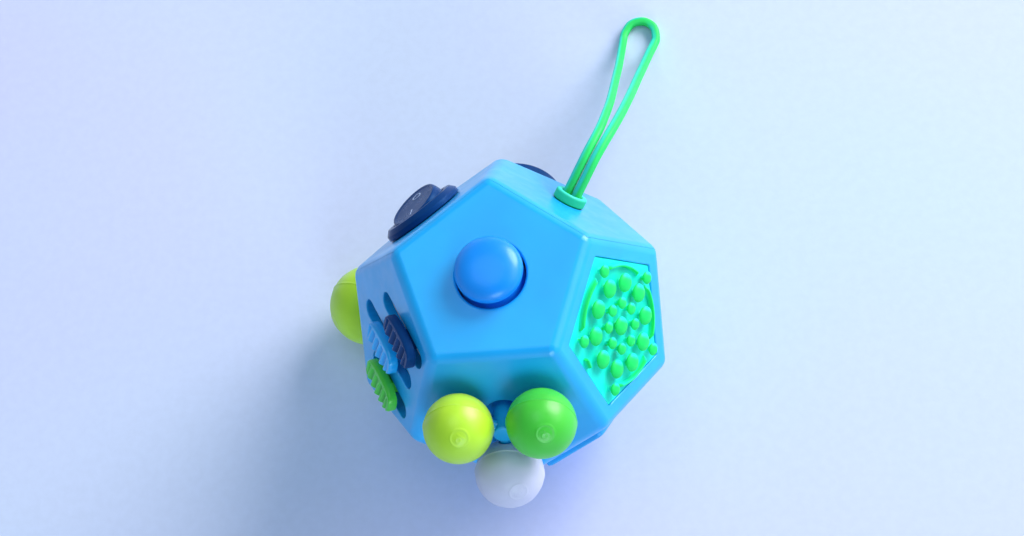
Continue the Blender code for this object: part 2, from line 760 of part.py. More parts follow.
def make_buttons():
    face = FACE["button"]
    for k, (x, y) in enumerate(circle_places(5, BUTTON_ORBIT, 90)):
        pivot = make_pivot(f"button_{k + 1}", face, (x, y, 0))
        profile = dome(BUTTON, BUTTON_TOP - 0.8, BUTTON_TOP, 2.4, 3)
        profile += [(BUTTON, -2.6), (BUTTON + 0.8, -2.6), (BUTTON + 0.8, -3.5), (0, -3.5)]
        material = ("navy", "lime", "green", "turquoise", "white")[k]
        place(turned(f"button_{k + 1}", profile, 16), pivot, material)
    place(prism("button_mat", 5, 17.6, -6.4, -5.1), face, "turquoise")
    place(prism("button_backplate", 5, 16.2, -8.0, -6.7), face, "inner_white")


def make_thumb_plate():
    face = FACE["thumb"]
    x, y = PLATE_HALF_LENGTH, PLATE_HALF_WIDTH
    plate = box("thumb_plate", (-x, -y, SEAT_GAP), (x, y, PLATE_TOP))
    place(plate, face, "shell_blue", rotation=(0, 0, PLATE_TURN))
    bevel = plate.modifiers.new("Round", "BEVEL")
    bevel.width = 0.8 * MM
    bevel.segments = 2
    hollow = ball("thumb_hollow", HOLLOW, 64, (0, 0, PLATE_TOP + HOLLOW - 0.9))
    cut(plate, helper(hollow, face))


def make_wheels():
    face = FACE["wheel"]
    axle = (0, 0, WHEEL_DEPTH)
    teeth = []
    for k in range(32):
        radius = WHEEL if k % 4 in (0, 1) else WHEEL - 0.7
        angle = 2 * pi * (k + (0.15 if k % 2 else -0.15)) / 32
        teeth.append((radius * cos(angle), radius * sin(angle)))
    for k in range(3):
        pivot = make_pivot(f"wheel_{k + 1}", face, ((k - 1) * WHEEL_PITCH, 0, WHEEL_DEPTH))
        wheel = outline_plate(f"wheel_{k + 1}", teeth, -WHEEL_THICK / 2, WHEEL_THICK / 2)
        place(wheel, pivot, ("lime", "navy", "white")[k], rotation=(0, 90, 0))
        bore = rod(f"wheel_bore_{k + 1}", 1.3, (-3, 0, 0), (3, 0, 0))
        cut(wheel, helper(bore, pivot))
    place(rod("wheel_axle", 1.0, (-10.2, 0, 0), (10.2, 0, 0)), face, "steel", axle)
    bracket = place(box("wheel_bracket", (-10.4, -3.5, -8.4), (10.4, 3.5, 1.4)), face, "inner_white", axle)
    cut(bracket, helper(box("bracket_gap", (-8.6, -8, -7.2), (8.6, 8, 3)), face, axle))
    cut(bracket, helper(rod("bracket_bores", 1.2, (-12, 0, 0), (12, 0, 0)), face, axle))


def make_base():
    pivot = make_pivot("spin_ring", FACE["base"])
    top = -0.4
    profile = [
        (SPIN_INNER, top - 0.2),
        (SPIN_INNER + 0.2, top),
        (12.9, top),
        (13.1, top - 0.2),
        (13.1, -2.6),
        (14.4, -2.6),
        (14.4, -3.8),
        (SPIN_INNER, -3.8),
    ]
    ring = place(turned("spin_ring", profile, 32, ring=True), pivot, "navy")
    for k, (x, y) in enumerate(circle_places(3, 10.2, 90)):
        dimple = ball(f"dimple_{k + 1}", 3.2, 12, (x, y, 2.0))
        cut(ring, helper(dimple, pivot))
    cap = [(0, 0), (6.5, 0), (6.9, -0.4), (6.9, -3.8), (1.3, -3.8), (1.3, -1.5), (0, -1.5)]
    place(turned("base_cap", cap, 24), pivot, "shell_blue")
    plate = place(prism("base_plate", 5, 18.2, -5.6, -4.2), FACE["base"], "inner_white")
    cut(plate, helper(prism("screw_hole", 16, 1.3, -7, -3), FACE["base"]))
    screw = [(0, -1.8), (1.0, -1.8), (1.0, -5.8), (2.6, -5.8), (2.4, -7.2), (0, -7.4)]
    place(turned("base_screw", screw, 16), pivot, "steel")


clear_scene()
PARTS = new_collection("twelve_sided_fidget_toy")
CUTTERS = new_collection("cutters")
MATERIALS = {name: make_material(name) for name in COLORS}
FACE = {name: make_face_empty(name) for name in FACES}
SLIDER_FRAME = make_pivot("slots", FACE["slider"], turn=SLOT_TURN)
make_shells()
make_joystick()
make_spinner()
make_bristle_pad()
make_sliders()
make_rocker()
make_lanyard()
make_dial()
make_thumb_ball()
make_buttons()
make_thumb_plate()
make_wheels()
make_base()
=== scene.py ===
"""The look of the twelve-sided fidget toy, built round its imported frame.

Sizes are in millimetres until a helper scales them to metres. Each face has a matrix, with +Z out of
the face, +Y up the face and +X across it. A piece is drawn in its face's frame, like the solid that it
replaces.
"""

import json
from math import acos, atan2, cos, pi, radians, sin, sqrt

import bmesh
import bpy
from mathutils import Matrix, Vector


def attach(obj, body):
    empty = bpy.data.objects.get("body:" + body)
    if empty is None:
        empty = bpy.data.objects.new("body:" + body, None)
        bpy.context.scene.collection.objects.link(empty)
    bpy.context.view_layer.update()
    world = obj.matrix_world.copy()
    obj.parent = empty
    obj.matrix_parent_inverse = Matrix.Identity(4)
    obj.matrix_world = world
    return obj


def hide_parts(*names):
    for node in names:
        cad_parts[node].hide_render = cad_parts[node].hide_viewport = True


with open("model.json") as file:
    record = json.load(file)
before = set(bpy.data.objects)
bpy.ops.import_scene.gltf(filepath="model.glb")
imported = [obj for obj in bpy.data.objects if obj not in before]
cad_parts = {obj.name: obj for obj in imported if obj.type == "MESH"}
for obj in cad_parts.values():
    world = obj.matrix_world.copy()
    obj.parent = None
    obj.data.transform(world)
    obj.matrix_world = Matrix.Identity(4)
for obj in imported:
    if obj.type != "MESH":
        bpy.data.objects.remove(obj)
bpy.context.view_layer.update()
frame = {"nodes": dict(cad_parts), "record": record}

MM = 0.001
EDGE = 28.0
# The inradius of a regular dodecahedron whose edge is 1
UNIT_INRADIUS = 1.113516
INRADIUS = EDGE * UNIT_INRADIUS
TILT = acos(1 / sqrt(5)) * 180 / pi
WALL = 2.2
EDGE_ROUND = 2.0
# How far each bowl is set back from the parting line
SEAM = 0.05
# Azimuth and polar angle of each face's outward normal, in degrees
FACES = {
    "joystick": (270, 0),
    "rocker": (126, TILT),
    "slider": (198, TILT),
    "spinner": (270, TILT),
    "bristle": (342, TILT),
    "lanyard": (54, TILT),
    "dial": (90, 180 - TILT),
    "ball": (162, 180 - TILT),
    "button": (234, 180 - TILT),
    "thumb": (306, 180 - TILT),
    "wheel": (18, 180 - TILT),
    "base": (270, 180),
}
FRONT_BOWL = ("spinner", "joystick", "slider", "bristle", "button", "thumb")
BACK_BOWL = ("dial", "rocker", "lanyard", "ball", "wheel", "base")


def face_matrix(name):
    azimuth, polar = FACES[name]
    turn = Matrix.Rotation(radians(azimuth + 90), 4, "Z") @ Matrix.Rotation(radians(polar), 4, "X")
    normal = turn @ Vector((0, 0, 1))
    return Matrix.Translation((normal + Vector((0, 0, 1))) * INRADIUS * MM) @ turn


def at(base, location=(0, 0, 0), turn=0.0, tilt=0.0):
    """base, shifted, then turned about its +Z and tilted about its own +Y: millimetres and degrees."""
    shifted = base @ Matrix.Translation(Vector(location) * MM)
    return shifted @ Matrix.Rotation(radians(turn), 4, "Z") @ Matrix.Rotation(radians(tilt), 4, "Y")


FACE = {name: face_matrix(name) for name in FACES}
SLOTS_FRAME = at(FACE["slider"], turn=18)


# ---------------------------------------------------------------- camera

camera_data = bpy.data.cameras.new("camera")
camera_data.sensor_width = 36
camera_data.lens = 73.05
camera_data.clip_start, camera_data.clip_end = 0.01, 50
camera = bpy.data.objects.new("camera", camera_data)
camera.rotation_mode = "QUATERNION"
# Along the axis of the camera's turn, as long as its angle in radians
camera_turn = Vector((-0.341241, -0.133555, 0.0522115))
camera.location = (0.06166, -0.15597, 0.49736)
camera.rotation_quaternion = Matrix.Rotation(-camera_turn.length, 4, camera_turn).to_quaternion()
bpy.context.scene.collection.objects.link(camera)
bpy.context.scene.camera = camera


# ---------------------------------------------------------------- materials


class Nodes:
    """A material's node tree, with short ways to add nodes to it."""

    def __init__(self, name):
        self.material = bpy.data.materials.new(name)
        self.material.use_nodes = True
        self.tree = self.material.node_tree
        self.shader = self.tree.nodes["Principled BSDF"]

    def add(self, kind, **settings):
        node = self.tree.nodes.new(kind)
        for key, value in settings.items():
            setattr(node, key, value)
        return node

    def link(self, source, target):
        self.tree.links.new(source, target)

    def noise(self, scale, detail, stretch=None):
        """Noise in the piece's own space; scale is in cells a metre."""
        place = self.add("ShaderNodeTexCoord").outputs["Object"]
        if stretch:
            mapping = self.add("ShaderNodeMapping")
            mapping.inputs["Scale"].default_value = stretch
            self.link(place, mapping.inputs["Vector"])
            place = mapping.outputs["Vector"]
        node = self.add("ShaderNodeTexNoise")
        node.inputs["Scale"].default_value = scale
        node.inputs["Detail"].default_value = detail
        self.link(place, node.inputs["Vector"])
        return node.outputs["Fac"]

    def ranged(self, value, low, high, start=0.35, end=0.65):
        node = self.add("ShaderNodeMapRange")
        node.inputs["From Min"].default_value = start
        node.inputs["From Max"].default_value = end
        node.inputs["To Min"].default_value = low
        node.inputs["To Max"].default_value = high
        self.link(value, node.inputs["Value"])
        return node.outputs["Result"]

    def mixed(self, factor, first, second):
        node = self.add("ShaderNodeMix", data_type="RGBA")
        self.link(factor, node.inputs["Factor"])
        for socket, value in ((node.inputs[6], first), (node.inputs[7], second)):
            if isinstance(value, tuple):
                socket.default_value = (*value, 1)
            else:
                self.link(value, socket)
        return node.outputs[2]

    def bump(self, heights):
        """Chains (height, strength, distance in metres) into the shader's normal."""
        normal = None
        for height, strength, distance in heights:
            node = self.add("ShaderNodeBump")
            node.inputs["Strength"].default_value = strength
            node.inputs["Distance"].default_value = distance
            self.link(height, node.inputs["Height"])
            if normal:
                self.link(normal, node.inputs["Normal"])
            normal = node.outputs["Normal"]
        self.link(normal, self.shader.inputs["Normal"])

    def set(self, **values):
        for key, value in values.items():
            self.shader.inputs[key.replace("_", " ")].default_value = value


def shifted(color, factor):
    return tuple(min(1.0, value * factor) for value in color)


def plastic(
    name, color, roughness, second=None, coat=0.0, soft=0.0, grain=0.5, tint=None, ior=1.5
):
    """Moulded plastic or rubber: cloudy colour, a fine moulded grain, uneven gloss and a few scuffs.

    second is the colour that a piece's mix attribute turns it to. On one button that attribute is a
    fixed share; on the strap, its collar and the pad's bristles it is painted light and shade, set by
    which way each point faces.
    """
    made = Nodes(name)
    cloud = made.noise(55, 3)
    base = made.mixed(made.ranged(cloud, 0, 1), shifted(color, 0.93), shifted(color, 1.06))
    if second:
        # The mix attribute: a fixed colour share on one button, painted light and shade on the strap,
        # its collar and the bristles
        mix_and_painted_light = made.add("ShaderNodeAttribute", attribute_name="mix_and_painted_light").outputs["Fac"]
        other = made.mixed(made.ranged(cloud, 0, 1), shifted(second, 0.93), shifted(second, 1.06))
        base = made.mixed(mix_and_painted_light, base, other)
    made.link(base, made.shader.inputs["Base Color"])
    patches = made.noise(260, 4)
    gloss = made.ranged(patches, roughness - 0.05, roughness + 0.06)
    made.link(gloss, made.shader.inputs["Roughness"])
    scuffs = made.noise(900, 5, stretch=(1, 7, 2))
    made.bump(
        [
            (made.noise(3200, 2), 0.22 * grain, 0.00006),
            (made.ranged(scuffs, 0, 1, 0.62, 0.72), 0.12 * grain, 0.00005),
            (made.noise(90, 2), 0.10, 0.00012),
        ]
    )
    made.set(IOR=ior)
    if coat:
        made.set(Coat_Weight=coat, Coat_Roughness=0.22)
    if soft:
        made.set(Subsurface_Weight=soft, Subsurface_Scale=0.0015)
        made.set(Subsurface_Radius=(0.8, 0.8, 0.8))
    if tint:
        made.set(Specular_Tint=(*tint, 1))
    return made.material


def metal(name, color, roughness):
    made = Nodes(name)
    lines = made.noise(700, 4, stretch=(1, 1, 14))
    base = made.mixed(made.ranged(lines, 0, 1), shifted(color, 0.85), shifted(color, 1.1))
    made.link(base, made.shader.inputs["Base Color"])
    gloss = made.ranged(lines, roughness - 0.06, roughness + 0.1)
    made.link(gloss, made.shader.inputs["Roughness"])
    made.bump([(lines, 0.12, 0.00003)])
    made.set(Metallic=1.0)
    return made.material


def table_material():
    """Pale painted board: faint blue and lilac clouds, and a fine grain."""
    made = Nodes("table_top")
    cloud = made.ranged(made.noise(4.5, 2), 0, 1)
    wide = made.mixed(cloud, TABLE_BLUE, TABLE_LILAC)
    speck = made.ranged(made.noise(420, 5), 0, 1)
    fine = made.mixed(speck, (0.97, 0.97, 0.97), (1.0, 1.0, 1.0))
    product = made.add("ShaderNodeMix", data_type="RGBA", blend_type="MULTIPLY")
    product.inputs["Factor"].default_value = 1.0
    made.link(wide, product.inputs[6])
    made.link(fine, product.inputs[7])
    made.link(product.outputs[2], made.shader.inputs["Base Color"])
    made.set(Roughness=0.75)
    made.bump([(made.noise(700, 4), 0.25, 0.0001), (made.noise(35, 2), 0.15, 0.0006)])
    return made.material


TABLE_BLUE = (0.60, 0.71, 0.91)
TABLE_LILAC = (0.63, 0.66, 0.93)
SKY_BLUE = (0.008, 0.40, 0.90)
STICK_BLUE = (0.005, 0.27, 0.90)
# Painted shade and light: the pad's bristles and the strap are green where they face away from the
# light and turquoise where they face it; the pad's floor is turquoise all over, its own colour
PAINTED_SHADE_GREEN = (0.012, 0.72, 0.13)
PAD_TURQUOISE_AND_PAINTED_LIGHT = (0.008, 0.80, 0.66)
STRAP_PAINTED_LIGHT_TURQUOISE = (0.03, 0.72, 0.6)
LIME = (0.46, 0.78, 0.03)
GREEN = (0.06, 0.60, 0.04)
COOL_WHITE = (0.60, 0.62, 0.80)
NAVY = (0.004, 0.042, 0.17)

MATERIALS = {
    "shell": plastic("moulded_sky_blue", SKY_BLUE, 0.36, coat=0.45, soft=0.05, tint=(0.6, 0.85, 1)),
    "joystick": plastic("soft_touch_blue", STICK_BLUE, 0.38, soft=0.05, coat=0.35, tint=(0.5, 0.8, 1)),
    "pad": plastic("silicone_turquoise", PAINTED_SHADE_GREEN, 0.5, PAD_TURQUOISE_AND_PAINTED_LIGHT, soft=0.12, tint=(0.3, 1, 0.8)),
    "lanyard": plastic("strap_turquoise", PAINTED_SHADE_GREEN, 0.55, STRAP_PAINTED_LIGHT_TURQUOISE, soft=0.08, grain=1.4),
    "lime": plastic("elastomer_lime", LIME, 0.38, soft=0.15, coat=0.12, grain=0.8),
    "green": plastic("elastomer_green", GREEN, 0.38, soft=0.15, coat=0.12, grain=0.8),
    "white": plastic("elastomer_white", COOL_WHITE, 0.42, soft=0.15, coat=0.1, grain=0.8),
    "switch": plastic("switch_navy", NAVY, 0.3, grain=0.9, tint=(0.1, 0.4, 0.9), ior=1.28),
    "inner": plastic("inner_white", (0.78, 0.78, 0.76), 0.5),
    "marks": plastic("printed_mark", (0.42, 0.55, 0.80), 0.45),
    "steel": metal("bright_steel", (0.62, 0.62, 0.65), 0.25),
    "brass": metal("plain_brass", (0.75, 0.53, 0.2), 0.3),
}


# ---------------------------------------------------------------- shapes


def shade(mesh, angle):
    mesh.shade_smooth()
    mesh.set_sharp_from_angle(angle=radians(angle))


def mesh_object(name, bm, angle=32):
    bmesh.ops.recalc_face_normals(bm, faces=bm.faces)
    mesh = bpy.data.meshes.new(name)
    bm.to_mesh(mesh)
    bm.free()
    shade(mesh, angle)
    obj = bpy.data.objects.new(name, mesh)
    bpy.context.scene.collection.objects.link(obj)
    return obj


def filleted(points, radius, count=5, closed=False):
    """Points with each corner rounded, by less where its sides are short."""
    made = []
    total = len(points)
    for i, corner in enumerate(points):
        if not closed and i in (0, total - 1):
            made.append(corner)
            continue
        before, after = Vector(points[i - 1]), Vector(points[(i + 1) % total])
        here = Vector(corner)
        one, two = before - here, after - here
        limit = min(one.length, two.length) * 0.45
        angle = one.angle(two)
        if angle > radians(168):
            made.append(corner)
            continue
        reach = min(radius / max(0.2, sin(angle / 2)) * cos(angle / 2), limit)
        start, end = here + one.normalized() * reach, here + two.normalized() * reach
        for k in range(count + 1):
            t = k / count
            made.append(tuple(start * (1 - t) ** 2 + here * 2 * t * (1 - t) + end * t**2))
    return made


def revolve(name, profile, steps=96, closed=False, angle=32):
    """A turned shape from (radius, height) points. An open profile starts and ends on the axis."""
    bm = bmesh.new()
    columns = []
    for k in range(steps):
        spin = 2 * pi * k / steps
        column = []
        for radius, height in profile:
            if radius < 1e-6:
                column.append(None)
            else:
                place = (radius * MM * cos(spin), radius * MM * sin(spin), height * MM)
                column.append(bm.verts.new(place))
        columns.append(column)
    poles = {i: bm.verts.new((0, 0, h * MM)) for i, (r, h) in enumerate(profile) if r < 1e-6}
    spans = len(profile) if closed else len(profile) - 1
    for k in range(steps):
        here, there = columns[k], columns[(k + 1) % steps]
        for i in range(spans):
            j = (i + 1) % len(profile)
            corners = [here[i] or poles[i], here[j] or poles[j]]
            corners += [there[j] or poles[j], there[i] or poles[i]]
            corners = list(dict.fromkeys(corners))
            if len(corners) > 2:
                bm.faces.new(corners)
    return mesh_object(name, bm, angle)


def loft(name, rings, angle=32):
    """A skin over rings of the same number of points, capped at both ends."""
    bm = bmesh.new()
    made = [[bm.verts.new(Vector(point) * MM) for point in ring] for ring in rings]
    count = len(made[0])
    for lower, upper in zip(made, made[1:]):
        for i in range(count):
            bm.faces.new((lower[i], lower[(i + 1) % count], upper[(i + 1) % count], upper[i]))
    bm.faces.new(made[0][::-1])
    bm.faces.new(made[-1])
    return mesh_object(name, bm, angle)


def layered(name, outline, layers, angle=32):
    """A plate from an outline function of an offset, at (height, offset) layers from the bottom up."""
    rings = [[(x, y, height) for x, y in outline(offset)] for height, offset in layers]
    return loft(name, rings, angle)


def edge_layers(low, high, bottom, top, count=4):
    """Layers of a plate with a rounded top edge, and a rounded bottom edge unless bottom is 0."""
    turns = [pi / 2 * i / count for i in range(count + 1)]
    layers = [(low, 0)]
    if bottom:
        layers = [(low + bottom * (1 - sin(t)), -bottom * (1 - cos(t))) for t in turns[::-1]]
    layers += [(high - top + top * sin(t), -top * (1 - cos(t))) for t in turns]
    return layers


def rounded_pentagon(apothem, fillet):
    """An outline function: a regular pentagon with rounded corners, one of them on -Y."""
    count = 6

    def outline(offset):
        radius = max(0.05, fillet + offset)
        reach = (apothem + offset - radius) / cos(radians(36))
        points = []
        for k in range(5):
            middle = 126 + 72 * k
            for i in range(count + 1):
                angle = radians(middle - 36 + 72 * i / count)
                x = reach * cos(radians(middle)) + radius * cos(angle)
                points.append((x, reach * sin(radians(middle)) + radius * sin(angle)))
        return points

    return outline


def slot_shape(low, high, half):
    """An outline function: a slot along X with round ends."""
    count = 10

    def outline(offset):
        radius = half + offset
        points = []
        for centre, start in ((high - half, -90), (low + half, 90)):
            for i in range(count + 1):
                angle = radians(start + 180 * i / count)
                points.append((centre + radius * cos(angle), radius * sin(angle)))
        return points

    return outline


def circle_shape(radius, count=64):
    """An outline function: a circle."""

    def outline(offset):
        size = radius + offset
        return [(size * cos(2 * pi * i / count), size * sin(2 * pi * i / count)) for i in range(count)]

    return outline


def rectangle(half_x, half_y, fillet):
    """An outline function: a rectangle with rounded corners."""
    count = 4

    def outline(offset):
        radius = fillet + max(0.0, offset)
        points = []
        for start, sx, sy in ((0, 1, 1), (90, -1, 1), (180, -1, -1), (270, 1, -1)):
            cx, cy = sx * (half_x + offset - radius), sy * (half_y + offset - radius)
            for i in range(count + 1):
                angle = radians(start + 90 * i / count)
                points.append((cx + radius * cos(angle), cy + radius * sin(angle)))
        return points

    return outline


def hole_cutter(name, outline, flare):
    """A hole through the wall whose outer edge is rounded over."""
    layers = [(-WALL - 1.5, 0)]
    for i in range(6):
        t = pi / 2 * i / 5
        layers.append((-flare * (1 - sin(t)), flare * (1 - cos(t))))
    layers.append((1.5, flare + 0.6))
    return layered(name, outline, layers)


def rod(name, radius, start, end, steps=32):
    start, end = Vector(start) * MM, Vector(end) * MM
    along = end - start
    bm = bmesh.new()
    bmesh.ops.create_cone(
        bm, cap_ends=True, segments=steps, radius1=radius * MM, radius2=radius * MM, depth=along.length
    )
    turned = along.to_track_quat("Z", "Y").to_matrix().to_4x4()
    bmesh.ops.transform(bm, verts=bm.verts, matrix=Matrix.Translation((start + end) / 2) @ turned)
    return mesh_object(name, bm)


def box(name, low, high):
    bm = bmesh.new()
    bmesh.ops.create_cube(bm, size=1)
    size = [(b - a) * MM for a, b in zip(low, high)]
    centre = Vector([(a + b) / 2 * MM for a, b in zip(low, high)])
    matrix = Matrix.Translation(centre) @ Matrix.Diagonal((*size, 1))
    bmesh.ops.transform(bm, verts=bm.verts, matrix=matrix)
    return mesh_object(name, bm)


def boolean(obj, others, operation):
    for other in others:
        modifier = obj.modifiers.new(operation.title(), "BOOLEAN")
        modifier.operation = operation
        modifier.solver = "EXACT"
        modifier.object = other


def settle(obj, helpers=(), angle=32, weighted=False):
    """Applies obj's modifiers, removes the helpers and shades what is left."""
    bpy.context.view_layer.update()
    graph = bpy.context.evaluated_depsgraph_get()
    mesh = bpy.data.meshes.new_from_object(obj.evaluated_get(graph))
    obj.modifiers.clear()
    obj.data = mesh
    for other in helpers:
        bpy.data.objects.remove(other, do_unlink=True)
    bm = bmesh.new()
    bm.from_mesh(mesh)
    bmesh.ops.remove_doubles(bm, verts=bm.verts, dist=0.000002)
    bmesh.ops.dissolve_degenerate(bm, edges=bm.edges, dist=0.000002)
    bm.to_mesh(mesh)
    bm.free()
    shade(mesh, angle)
    if weighted:
        modifier = obj.modifiers.new("Flat_faces", "WEIGHTED_NORMAL")
        modifier.keep_sharp = True
        modifier.weight = 100


def joined(name, objects):
    """Several meshes in one object, each at its own place."""
    bm = bmesh.new()
    for obj in objects:
        start = len(bm.verts)
        bm.from_mesh(obj.data)
        bm.verts.ensure_lookup_table()
        bmesh.ops.transform(bm, verts=bm.verts[start:], matrix=obj.matrix_world)
        bpy.data.objects.remove(obj, do_unlink=True)
    return mesh_object(name, bm)


def put(obj, matrix, body, material, *replaced, slot=None):
    """Places a finished piece, gives it its material and ties it to the frame."""
    obj.data.transform(matrix)
    obj.data.materials.clear()
    obj.data.materials.append(MATERIALS[material])
    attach(obj, body)
    if replaced:
        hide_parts(*replaced)


def mix_and_painted_light(obj, value_at):
    """Writes the colour mix attribute from a function of each point's place and normal; where that
    function follows the normal, the mix is painted light and shade.
    """
    attribute = obj.data.attributes.new("mix_and_painted_light", "FLOAT", "POINT")
    values = [max(0.0, min(1.0, value_at(v.co, v.normal))) for v in obj.data.vertices]
    attribute.data.foreach_set("value", values)


def dome(radius, low, high, power=2.4, count=24):
    """Profile points of a rounded top, from its crown down to its widest radius."""
    points = []
    for i in range(count + 1):
        share = sin(pi / 2 * i / count)
        points.append((radius * share, low + (high - low) * (1 - share**power) ** (1 / power)))
    return points


def circle_places(count, radius, first):
    angles = [radians(first + 360 * k / count) for k in range(count)]
    return [(radius * cos(angle), radius * sin(angle)) for angle in angles]


# ---------------------------------------------------------------- lanyard

CORD = 2.1
# The loop's centre line and half width: (distance from the upright axis, azimuth in degrees, height
# above the base, half the gap between the two strands)
CORD_ROUTE = (
    (25.2, 54.0, 43.8, 1.2),
    (27.9, 54.0, 45.1, 1.2),
    (30.7, 54.0, 46.6, 1.2),
    (34.8, 54.3, 48.2, 1.2),
    (39.0, 54.8, 49.2, 1.2),
    (43.2, 55.4, 49.0, 1.25),
    (47.6, 56.5, 47.0, 1.4),
    (52.5, 58.3, 42.8, 1.7),
    (58.3, 60.6, 36.2, 2.0),
    (64.7, 63.0, 28.2, 2.4),
    (71.6, 65.2, 19.6, 2.8),
    (78.4, 66.9, 11.4, 3.2),
    (85.1, 68.2, 4.6, 3.7),
    (89.1, 68.7, 1.8, 4.1),
    (91.5, 68.9, 1.2, 4.2),
)


def smooth_route(points, per_span):
    points = [Vector(point) for point in points]
    padded = [points[0] * 2 - points[1], *points, points[-1] * 2 - points[-2]]
    route = []
    for before, start, end, after in zip(padded, padded[1:], padded[2:], padded[3:]):
        for i in range(per_span):
            t = i / per_span
            bend = (2 * before - 5 * start + 4 * end - after) * t**2
            twist = (3 * start - before - 3 * end + after) * t**3
            route.append((2 * start + (end - before) * t + bend + twist) / 2)
    return route + [points[-1]]


def cord_points():
    """The doubled cord's own points: out along one strand, round the loop's end and back."""
    left, right, centres = [], [], []
    for radius, azimuth, height, half in CORD_ROUTE:
        angle = radians(azimuth)
        centres.append(Vector((radius * cos(angle), radius * sin(angle), height)))
    for i, (centre, (_, _, _, half)) in enumerate(zip(centres, CORD_ROUTE)):
        along = centres[min(i + 1, len(centres) - 1)] - centres[max(i - 1, 0)]
        side = along.cross(Vector((0, 0, 1))).normalized()
        left.append(centre - side * half)
        right.append(centre + side * half)
    along = centres[-1] - centres[-2]
    along = Vector((along.x, along.y, 0)).normalized()
    half = CORD_ROUTE[-1][3]
    side = along.cross(Vector((0, 0, 1))).normalized()
    end = []
    for angle in (45, 90, 135):
        bend = radians(angle)
        end.append(centres[-1] - side * half * cos(bend) + along * half * sin(bend))
    return left + end + right[::-1]


def make_cord():
    """The strap, of nearly square section with fine ribs along it, and the collar that it leaves by."""
    route = smooth_route(cord_points(), 14)
    count, sides = len(route), 28
    bm = bmesh.new()
    rings = []
    normal = (route[1] - route[0]).cross(Vector((0, 0, 1))).normalized()
    for i, point in enumerate(route):
        along = (route[min(i + 1, count - 1)] - route[max(i - 1, 0)]).normalized()
        normal = (normal - along * normal.dot(along)).normalized()
        other = along.cross(normal)
        ring = []
        for k in range(sides):
            angle = 2 * pi * k / sides
            x, y = cos(angle), sin(angle)
            size = CORD / 2 / (abs(x) ** 3.2 + abs(y) ** 3.2) ** (1 / 3.2)
            size *= 1 - 0.012 * (1 + cos(angle * 14)) / 2
            ring.append(bm.verts.new((point + normal * x * size + other * y * size) * MM))
        rings.append(ring)
    for lower, upper in zip(rings, rings[1:]):
        for k in range(sides):
            bm.faces.new((lower[k], lower[(k + 1) % sides], upper[(k + 1) % sides], upper[k]))
    bm.faces.new(rings[0][::-1])
    bm.faces.new(rings[-1])
    strap = mesh_object("lanyard_strap", bm, 50)
    # Painted light: the strap's sides that face up and to the left turn turquoise, as if lit from
    # there, and its other sides stay green as painted shade
    lit = Vector((-0.83, 0.42, 0.36)).normalized()
    mix_and_painted_light(strap, lambda _, n: (n.dot(lit) - 0.35) / 0.25)
    put(strap, Matrix.Identity(4), "root", "lanyard", "lanyard_cord")
    inner = CORD + 0.4
    profile = [(inner, 2.5), (3.9, 2.5), (3.9, 0.2), (3.15, 0.2), (3.15, -2.8), (inner, -2.8)]
    ring = revolve("lanyard_collar", filleted(profile, 0.75, 8, closed=True), 96, closed=True)
    # Painted light: the collar is turquoise where it faces out of the face and green down its sides and
    # underneath, as painted shade
    mix_and_painted_light(ring, lambda _, n: 0.35 + 0.65 * n.z)
    put(ring, FACE["lanyard"], "root", "lanyard", "lanyard_grommet")


# ---------------------------------------------------------------- housing


def corner_points():
    """The twenty corners of a dodecahedron whose edge is 1, from its centre."""
    rim, belt, belt_height = 0.850651, 1.376382, 0.262866
    points = []
    for k in range(5):
        upper, lower = radians(90 + 72 * k), radians(126 + 72 * k)
        points.append(Vector((rim * cos(upper), rim * sin(upper), UNIT_INRADIUS)))
        points.append(Vector((belt * cos(upper), belt * sin(upper), belt_height)))
        points.append(Vector((belt * cos(lower), belt * sin(lower), -belt_height)))
        points.append(Vector((rim * cos(lower), rim * sin(lower), -UNIT_INRADIUS)))
    return points


def dodecahedron(name, inradius):
    bm = bmesh.new()
    scale = inradius / UNIT_INRADIUS * MM
    for point in corner_points():
        bm.verts.new(point * scale)
    bmesh.ops.convex_hull(bm, input=bm.verts)
    bmesh.ops.dissolve_limit(bm, angle_limit=radians(5), verts=bm.verts, edges=bm.edges)
    bmesh.ops.translate(bm, verts=bm.verts, vec=(0, 0, INRADIUS * MM))
    return mesh_object(name, bm)


def bowl(name, faces, shift):
    """The space of six neighbouring faces: their pyramids from the centre, carried past the housing."""
    normals = [FACE[face].to_3x3() @ Vector((0, 0, 1)) for face in faces]
    bm = bmesh.new()
    made = {}
    for normal in normals:
        ring = [p for p in corner_points() if abs(p.dot(normal) - UNIT_INRADIUS) < 0.01]
        side = (ring[0] - normal * ring[0].dot(normal)).normalized()
        up = normal.cross(side)
        ring.sort(key=lambda p: atan2(p.dot(up), p.dot(side)))
        for point in ring:
            key = tuple(round(value, 4) for value in point)
            if key not in made:
                made[key] = bm.verts.new(point * EDGE * 1.3 * MM)
        bm.faces.new([made[tuple(round(value, 4) for value in point)] for point in ring])
    centre = bm.verts.new((0, 0, 0))
    for edge in [edge for edge in bm.edges if edge.is_boundary]:
        bm.faces.new((*edge.verts, centre))
    moved = Vector((0, 0, INRADIUS * MM)) + normals[0] * shift * MM
    bmesh.ops.translate(bm, verts=bm.verts, vec=moved)
    return mesh_object(name, bm)


STICK_HOLE = 8.06
HUB_HOLE = 4.6
PAD_APOTHEM = 18.48 * cos(radians(36))
# Each slider: its place across the face, its slot's ends and where its knob rests
SLIDERS = {
    "blue": (-1.1, -14.1, 13.4, 0.4),
    "black": (8.6, -6.9, 16.0, 7.7),
    "green": (-10.8, -6.2, 13.9, 3.5),
}
SLOT_HALF = 2.3
ROCKER_ACROSS = 1.5
BUTTON = 3.2
BUTTON_ORBIT = 10.0
WHEEL_THICK = 3.0
WHEEL_PITCH = 5.2


